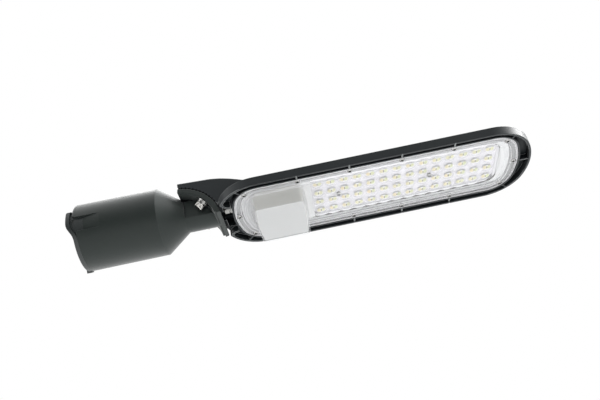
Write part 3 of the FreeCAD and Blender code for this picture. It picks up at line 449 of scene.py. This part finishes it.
def ellipse(tree, across, along, centre, half_length, half_width):
    """1 inside an ellipse, 0 outside, with a soft edge."""
    dx = math_node(tree, "DIVIDE", math_node(tree, "SUBTRACT", across, centre), half_length)
    dy = math_node(tree, "DIVIDE", along, half_width)
    dx_square = math_node(tree, "MULTIPLY", dx, dx)
    dy_square = math_node(tree, "MULTIPLY", dy, dy)
    square = math_node(tree, "ADD", dx_square, dy_square)
    return map_range(tree, square, (1 + field_softness, 1 - field_softness), smooth=True)


def edge_share(tree, radius, gain):
    """Value that rises along edges: how far the normal turns when the edge is rounded to a radius."""
    rounded = add_node(tree, "ShaderNodeBevel", Radius=radius)
    rounded.samples = edge_samples
    plain = tree.nodes.new("ShaderNodeNewGeometry")
    turn = tree.nodes.new("ShaderNodeVectorMath")
    turn.operation = "DOT_PRODUCT"
    tree.links.new(rounded.outputs["Normal"], turn.inputs[0])
    tree.links.new(plain.outputs["Normal"], turn.inputs[1])
    lost = math_node(tree, "SUBTRACT", 1.0, math_node(tree, "ABSOLUTE", turn.outputs["Value"]))
    return math_node(tree, "MINIMUM", math_node(tree, "MULTIPLY", lost, gain), edge_limit)


def painted_edge_light_and_shade(tree, surface, tone, radius, gain, where=None):
    """Surface with a painted highlight along its edges where the tone is lighter and painted shade where
    it is darker, on all of them or those that a mask holds.
    """
    line = add_node(tree, "ShaderNodeBsdfDiffuse", Color=(*tone, 1))
    share = edge_share(tree, radius, gain)
    if where:
        share = math_node(tree, "MULTIPLY", share, where(tree))
    return mix_shaders(tree, share, surface, line.outputs["BSDF"])


def shaded(tree, surface, reach):
    """Surface with painted shade: it turns to dull near-black in narrow recesses, where little light gets
    in.
    """
    recess = add_node(tree, "ShaderNodeAmbientOcclusion", Distance=reach)
    recess.samples = recess_samples
    dull = add_node(tree, "ShaderNodeBsdfDiffuse", Color=(*painted_shade_colour, 1))
    share = map_range(tree, recess.outputs["AO"], (recess_closed, recess_open), smooth=True)
    return mix_shaders(tree, share, dull.outputs["BSDF"], surface)


def grazing(tree, power, low, high):
    """Value that rises from face-on to grazing view, the same from either side of a surface."""
    facing = add_node(tree, "ShaderNodeLayerWeight", Blend=0.5)
    raised = math_node(tree, "POWER", facing.outputs["Facing"], power)
    return map_range(tree, raised, to_range=(low, high))


def coated(name, low, high, rough, grain, strength, metallic=0.0, specular=0.5, sheen=0.0, edge_round=0.0,
           shade_reach=0.0, line=None, place_tones=()):
    """Coated, moulded or turned finish: tone and roughness from a broad noise, grain from a fine one.

    A shade reach gives painted shade in narrow recesses, a line gives the tone, radius, gain and mask of a
    painted highlight or painted shade along edges, and each place tone gives a mask with its colour, here
    a painted highlight or painted shade at a place.
    """
    material, tree, output = new_material(name)
    shader = add_node(tree, "ShaderNodeBsdfPrincipled", Metallic=metallic, Specular_IOR_Level=specular,
                      Sheen_Weight=sheen)
    broad = noise(tree, broad_scale)
    fine = noise(tree, grain, fine_detail)
    colour = colour_ramp(tree, broad, low, high)
    roughness = map_range(tree, broad, to_range=(rough - roughness_spread, rough + roughness_spread))
    relief = bump(tree, fine, strength, grain_depth)
    if edge_round:
        rounded = add_node(tree, "ShaderNodeBevel", Radius=edge_round)
        rounded.samples = rounding_samples
        tree.links.new(rounded.outputs["Normal"], relief.inputs["Normal"])
    for where, other in place_tones:
        colour = mix_colours(tree, where(tree), colour, other)
    tree.links.new(colour, shader.inputs["Base Color"])
    tree.links.new(roughness, shader.inputs["Roughness"])
    tree.links.new(relief.outputs["Normal"], shader.inputs["Normal"])
    surface = shader.outputs["BSDF"]
    if shade_reach:
        surface = shaded(tree, surface, shade_reach)
    if line:
        surface = painted_edge_light_and_shade(tree, surface, *line)
    tree.links.new(surface, output.inputs["Surface"])
    return material


def clear_plastic(name, tint, edge, gloss, milk_edge, milk_power, line_width, bands=(), rim=None):
    """Thin clear moulding: see-through and glossy, with haze at grazing angles, by height and on a rim,
    and a painted highlight along its edges.
    """
    material, tree, output = new_material(name)
    through = add_node(tree, "ShaderNodeBsdfTransparent", Color=(*tint, 1))
    shine = add_node(tree, "ShaderNodeBsdfGlossy", Roughness=gloss)
    haze = add_node(tree, "ShaderNodeBsdfDiffuse", Color=(*edge, 1))
    relief = bump(tree, noise(tree, clear_grain, fine_detail), clear_grain_strength, clear_grain_depth)
    tree.links.new(relief.outputs["Normal"], shine.inputs["Normal"])
    milk = grazing(tree, milk_power, 0.0, milk_edge)
    for height, amount in bands:
        milk = math_node(tree, "ADD", milk, math_node(tree, "MULTIPLY", at_height(tree, height), amount))
    if rim:
        milk = math_node(tree, "ADD", milk, math_node(tree, "MULTIPLY", rim(tree), rim_milk))
    body = mix_shaders(tree, milk, through.outputs["BSDF"], haze.outputs["BSDF"])
    glossy = mix_shaders(tree, grazing(tree, gloss_power, gloss_face_on, 1.0), body, shine.outputs["BSDF"])
    # Painted highlight: a milky line along every edge
    tree.links.new(painted_edge_light_and_shade(tree, glossy, edge, line_width, clear_edge_gain), output.inputs["Surface"])
    return material


def led_picture():
    """LED as its lens shows it: white package, two phosphor fields with a dark gap between them."""
    material, tree, output = new_material("led_picture")
    shader = add_node(tree, "ShaderNodeBsdfPrincipled", Roughness=picture_roughness)
    across = from_pattern(tree, "X", led_first_x, led_pitch_x)
    along = from_pattern(tree, "Y", led_pitch_y / 2, led_pitch_y)
    broad = noise(tree, phosphor_scale)
    colour = package_white
    for side, tone in ((-1, phosphor_warm), (1, phosphor_green)):
        field = ellipse(tree, across, along, side * field_offset, field_half_length, field_half_width)
        colour = mix_colours(tree, field, colour, colour_ramp(tree, broad, tone, phosphor_mean))
    gap = ellipse(tree, across, along, 0.0, gap_half_length, gap_half_width)
    tree.links.new(mix_colours(tree, gap, colour, shade_and_led_gap_dark), shader.inputs["Base Color"])
    tree.links.new(shader.outputs["BSDF"], output.inputs["Surface"])
    return material


def shrink(name):
    """Draw a clear node in by a hair, so that its faces don't coincide with what it lies on."""
    modifier = nodes[name].modifiers.new("hair_gap", "DISPLACE")
    modifier.strength = -hair_gap
    modifier.mid_level = 0.0


def paint(names, material):
    """Give CAD nodes a material."""
    for name in names:
        data = nodes[name].data
        data.materials.clear()
        data.materials.append(material)


def paint_frame():
    """Materials of the CAD nodes."""
    for name, names, low, high, rough, grain, strength, metallic in plain_finishes:
        paint(names, coated(name, low, high, rough, grain, strength, metallic))
    # Castings: painted shade in narrow recesses and a painted highlight along edges, on the head only in
    # its channel
    casting = dict(rough=0.42, grain=900.0, strength=0.25, specular=0.26, edge_round=0.0006)
    arm = coated("arm_casting", low=(0.011, 0.017, 0.015), high=(0.015, 0.021, 0.019), sheen=0.2,
                 shade_reach=0.009, line=((0.1, 0.11, 0.11), 0.0004, 2.0), **casting)
    head = coated("head_casting", low=(0.010, 0.014, 0.016), high=(0.014, 0.018, 0.020), sheen=0.08,
                  shade_reach=0.014, line=((0.36, 0.37, 0.37), 0.0006, 6.0, in_channel),
                  place_tones=((rib_crests, crest_highlight_grey),), **casting)
    # Frame sheet: painted shade on its narrow strips, on its walls beside the cusps and along its edges
    sheet = coated("frame_sheet", low=(0.67, 0.67, 0.675), high=(0.7, 0.7, 0.705), rough=0.45, grain=600.0,
                   strength=0.15, line=((0.5, 0.5, 0.5), 0.0003, 3.0),
                   place_tones=((in_shaded_strips, strip_painted_shade), (cusp_gap, shade_and_led_gap_dark)))
    # Driver case: its downward face painted darker as shade
    case = coated("driver_shell", low=(0.77, 0.76, 0.73), high=(0.81, 0.8, 0.77), rough=0.4, grain=600.0,
                  strength=0.15, place_tones=((facing_down, case_bottom_painted_shade),))
    # Gland: painted shade along its edges
    nickel = coated("nickel", low=(0.26, 0.26, 0.25), high=(0.34, 0.34, 0.33), rough=0.2, grain=600.0,
                    strength=0.1, metallic=1.0, line=((0.02, 0.02, 0.02), 0.0012, 8.0))
    cover = clear_plastic("clear_cover_plastic", tint=(0.985, 0.99, 0.99), edge=(0.85, 0.85, 0.87),
                          gloss=0.06, milk_edge=0.4, milk_power=3.0, line_width=0.0009, bands=cover_milk)
    lens = clear_plastic("lens_plastic", tint=(0.985, 0.98, 0.99), edge=(0.95, 0.94, 0.97),
                         gloss=0.05, milk_edge=1.0, milk_power=2.8, line_width=0.0002, rim=beyond_board)
    paint(["arm_socket"], arm)
    paint(["head_housing"], head)
    paint(["reflector_tray"], sheet)
    paint(["driver_case"], case)
    paint(["gland_body", "gland_nut"], nickel)
    paint(["clear_cover"], cover)
    paint(["lens_plate"], lens)
    shrink("clear_cover")
    shrink("lens_plate")


def new_piece(name, mesh_data, material):
    """Smooth object from a bmesh."""
    data = bpy.data.meshes.new(name)
    mesh_data.to_mesh(data)
    mesh_data.free()
    for face in data.polygons:
        face.use_smooth = True
    data.materials.append(material)
    piece = bpy.data.objects.new(name, data)
    bpy.context.scene.collection.objects.link(piece)
    return piece


def make_pictures():
    """Crowned oval inside each lens that carries the enlarged picture of its LED."""
    mesh_data = bmesh.new()
    for row in range(led_rows):
        for column in range(led_columns):
            x = led_first_x + column * led_pitch_x
            y = (row - (led_rows - 1) / 2) * led_pitch_y
            crown = mesh_data.verts.new((x, y, lip_z + picture_height - picture_crown))
            rings = []
            for share in picture_ring_shares:
                z = lip_z + picture_height - picture_crown * (1 - share ** 2)
                ring = []
                for i in range(picture_steps):
                    turn = 2 * pi * i / picture_steps
                    ring.append(mesh_data.verts.new((x + share * picture_half_length * cos(turn),
                                                     y + share * picture_half_width * sin(turn), z)))
                rings.append(ring)
            inner, outer = rings
            for i in range(picture_steps):
                j = (i + 1) % picture_steps
                mesh_data.faces.new((crown, inner[j], inner[i]))
                mesh_data.faces.new((inner[i], inner[j], outer[j], outer[i]))
    piece = new_piece("led_pictures", mesh_data, led_picture())
    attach(piece, head_body)


def turned(profile, steps, knurled=()):
    """Closed bmesh of revolution about Z from (radius, height) points, ribbed at the knurled ones."""
    mesh_data = bmesh.new()
    rings = []
    for number, (radius, height) in enumerate(profile):
        if radius == 0:
            rings.append([mesh_data.verts.new((0, 0, height))])
            continue
        ring = []
        for i in range(steps):
            drawn_in = knurl_depth if number in knurled and i % 2 else 0
            turn = 2 * pi * i / steps
            reach = radius - drawn_in
            ring.append(mesh_data.verts.new((reach * cos(turn), reach * sin(turn), height)))
        rings.append(ring)
    for low, high in zip(rings, rings[1:]):
        for i in range(steps):
            j = (i + 1) % steps
            if len(low) == 1:
                mesh_data.faces.new((low[0], high[j], high[i]))
            elif len(high) == 1:
                mesh_data.faces.new((low[i], low[j], high[0]))
            else:
                mesh_data.faces.new((low[i], low[j], high[j], high[i]))
    return mesh_data


def tapered_prism(outline, low, high, share):
    """Closed bmesh between an outline and the same outline made smaller by a share."""
    mesh_data = bmesh.new()
    start = [mesh_data.verts.new((x, y, low)) for x, y in outline]
    end = [mesh_data.verts.new((x * share, y * share, high)) for x, y in outline]
    mesh_data.faces.new(list(reversed(start)))
    mesh_data.faces.new(end)
    for i in range(len(outline)):
        j = (i + 1) % len(outline)
        mesh_data.faces.new((start[i], start[j], end[j], end[i]))
    return mesh_data


def cross_outline(length, width):
    """Corners of a plus sign."""
    corners = []
    for quarter in range(4):
        turn = quarter * pi / 2
        for x, y in ((length, -width), (length, width), (width, width)):
            corners.append((x * cos(turn) - y * sin(turn), x * sin(turn) + y * cos(turn)))
    return corners


def carved(body, cutter):
    """Mesh of a body with a cutter taken out of it."""
    pair = []
    for mesh_data in (body, cutter):
        data = bpy.data.meshes.new("carving")
        mesh_data.to_mesh(data)
        mesh_data.free()
        item = bpy.data.objects.new("carving", data)
        bpy.context.scene.collection.objects.link(item)
        pair.append(item)
    cut = pair[0].modifiers.new("carve", "BOOLEAN")
    cut.operation = "DIFFERENCE"
    cut.solver = "EXACT"
    cut.object = pair[1]
    result = bpy.data.meshes.new_from_object(pair[0].evaluated_get(bpy.context.evaluated_depsgraph_get()))
    for item in pair:
        bpy.data.objects.remove(item)
    return result


def repeated(name, data, places, material):
    """One piece on the head's body from copies of a mesh at several places."""
    mesh_data = bmesh.new()
    for place in places:
        copy = data.copy()
        copy.transform(place)
        mesh_data.from_mesh(copy)
        bpy.data.meshes.remove(copy)
    piece = new_piece(name, mesh_data, material)
    piece.data.set_sharp_from_angle(angle=smooth_angle)
    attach(piece, head_body)
    return piece


def cross_screw(head_r, length):
    """Pan-head screw with a cross recess, its face at height 0."""
    profile = [(share * head_r, depth) for share, depth in screw_head_profile]
    profile += [(screw_r, screw_head_height), (screw_r, length - screw_r),
                (screw_tip_share * screw_r, length), (0, length)]
    cross = tapered_prism(cross_outline(cross_length, cross_width), -cross_depth, cross_depth, cross_taper)
    return carved(turned(profile, screw_steps), cross)


def cover_screw_centres():
    """Centres of the cover's screws along the sides, in the corners and at the ends."""
    centres = []
    for side in (-1, 1):
        for i in range(side_screw_count):
            centres.append((side_screw_x + i * side_screw_pitch, side * (cover_half_width - screw_inset)))
    corner_y = cover_half_width - cover_corner_r
    corner_dx = sqrt((cover_end_r - cover_corner_r) ** 2 - corner_y ** 2)
    reach = cover_corner_r - screw_inset
    for sign, x_end in ((1, cover_high_x), (-1, cover_low_x)):
        corner_x = x_end - sign * (cover_end_r - corner_dx) + sign * reach * cos(corner_screw_angle)
        for side in (-1, 1):
            centres.append((corner_x, side * (corner_y + reach * sin(corner_screw_angle))))
        centres.append((x_end - sign * screw_inset, 0.0))
    return centres


def make_screws():
    """Cover screws and lens screws, each turned as it happened to stop."""
    # Screws: painted shade in their cross recesses
    dull = coated("screw_steel", low=(0.34, 0.34, 0.33), high=(0.42, 0.42, 0.41), rough=0.25,
                  grain=900.0, strength=0.2, metallic=1.0, shade_reach=0.003)
    bright = coated("lens_screw_steel", low=(0.72, 0.72, 0.7), high=(0.8, 0.8, 0.78), rough=0.3,
                    grain=900.0, strength=0.2, metallic=1.0, shade_reach=0.003)
    cover_screw = cross_screw(cover_screw_head_r, cover_screw_length)
    lens_screw = cross_screw(lens_screw_head_r, lens_screw_length)
    cover_centres = cover_screw_centres()
    lens_centres = [(led_first_x + column * led_pitch_x, 0.0) for column in lens_screw_columns]
    groups = (("cover_cross_screws", "cover_screws", cover_centres, cover_screw_face, cover_screw, dull),
              ("lens_cross_screws", "lens_screws", lens_centres, lens_screw_face, lens_screw, bright))
    for name, node, centres, face, screw, steel in groups:
        places = []
        for i, (x, y) in enumerate(centres):
            turn = Matrix.Rotation(i * screw_turn, 4, "Z")
            places.append(Matrix.Translation((x, y, lip_z + face)) @ turn)
        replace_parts(repeated(name, screw, places, steel), node)


def make_bolts():
    """Clamp bolts with knurled heads and hexagon sockets."""
    # Bolts: painted shade in their hexagon sockets
    steel = coated("bolt_steel", low=(0.6, 0.59, 0.56), high=(0.72, 0.71, 0.68), rough=0.24, grain=900.0,
                   strength=0.15, metallic=1.0, shade_reach=0.006)
    rim = bolt_head_r - bolt_chamfer
    profile = [(0, 0), (rim, 0), (bolt_head_r, bolt_chamfer), (bolt_head_r, knurl_end),
               (bolt_head_r, band_start), (bolt_head_r, band_end), (rim, bolt_head_height),
               (bolt_r, bolt_head_height), (bolt_r, bolt_length - bolt_tip_chamfer),
               (bolt_r - bolt_tip_chamfer, bolt_length), (0, bolt_length)]
    hexagon = [(bolt_socket_r * cos(i * pi / 3), bolt_socket_r * sin(i * pi / 3)) for i in range(6)]
    socket = tapered_prism(hexagon, -bolt_socket_depth, bolt_socket_depth, 1)
    bolt = carved(turned(profile, 2 * knurl_count, knurled_points), socket)
    out = Vector((cos(bolt_angle), 0, sin(bolt_angle)))
    turn = out.to_track_quat("Z", "Y").to_matrix().to_4x4()
    places = []
    for side in (-1, 1):
        foot = tilt_axis + out * bolt_foot_r + Vector((0, side * bolt_y, 0))
        places.append(Matrix.Translation(foot) @ turn)
    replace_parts(repeated("knurled_bolts", bolt, places, steel), "clamp_bolts")


def soft_light(name, place, target, size, power):
    """Square area light aimed at a point."""
    data = bpy.data.lights.new(name, "AREA")
    data.size = size
    data.energy = power
    lamp = bpy.data.objects.new(name, data)
    lamp.location = place
    lamp.rotation_euler = (Vector(target) - Vector(place)).to_track_quat("-Z", "Y").to_euler()
    bpy.context.scene.collection.objects.link(lamp)


def make_surroundings():
    """World that the camera sees plain white, and that lights the lamp mostly from behind."""
    world = bpy.data.worlds.new("studio")
    bpy.context.scene.world = world
    world.use_nodes = True
    tree = world.node_tree
    tree.nodes.clear()
    output = tree.nodes.new("ShaderNodeOutputWorld")
    seen = add_node(tree, "ShaderNodeBackground", Color=(1, 1, 1, 1), Strength=white_ground)
    light = add_node(tree, "ShaderNodeBackground", Color=(1, 1, 1, 1))
    place = tree.nodes.new("ShaderNodeTexCoord")
    towards = tree.nodes.new("ShaderNodeVectorMath")
    towards.operation = "DOT_PRODUCT"
    towards.inputs[1].default_value = camera_side
    tree.links.new(place.outputs["Generated"], towards.inputs[0])
    strength = map_range(tree, towards.outputs["Value"], (fade_start, fade_end),
                         (far_strength, near_strength), smooth=True)
    tree.links.new(strength, light.inputs["Strength"])
    path = tree.nodes.new("ShaderNodeLightPath")
    mixed = mix_shaders(tree, path.outputs["Is Camera Ray"], light.outputs["Background"],
                        seen.outputs["Background"])
    tree.links.new(mixed, output.inputs["Surface"])


def make_studio():
    """Pale floor, white surroundings and soft lights."""
    bpy.ops.mesh.primitive_plane_add(size=floor_size, location=(0, 0, floor_height))
    floor = bpy.context.object
    floor.name = "floor"
    pale = coated("floor_paint", low=(0.78, 0.78, 0.78), high=(0.8, 0.8, 0.8), rough=0.8, grain=40.0,
                  strength=0.02)
    floor.data.materials.append(pale)
    make_surroundings()
    for name, place, target, size, power in lamps:
        soft_light(name, place, target, size, power)


make_camera()
bpy.context.scene.view_settings.view_transform = "Standard"
paint_frame()
make_pictures()
make_screws()
make_bolts()
make_studio()
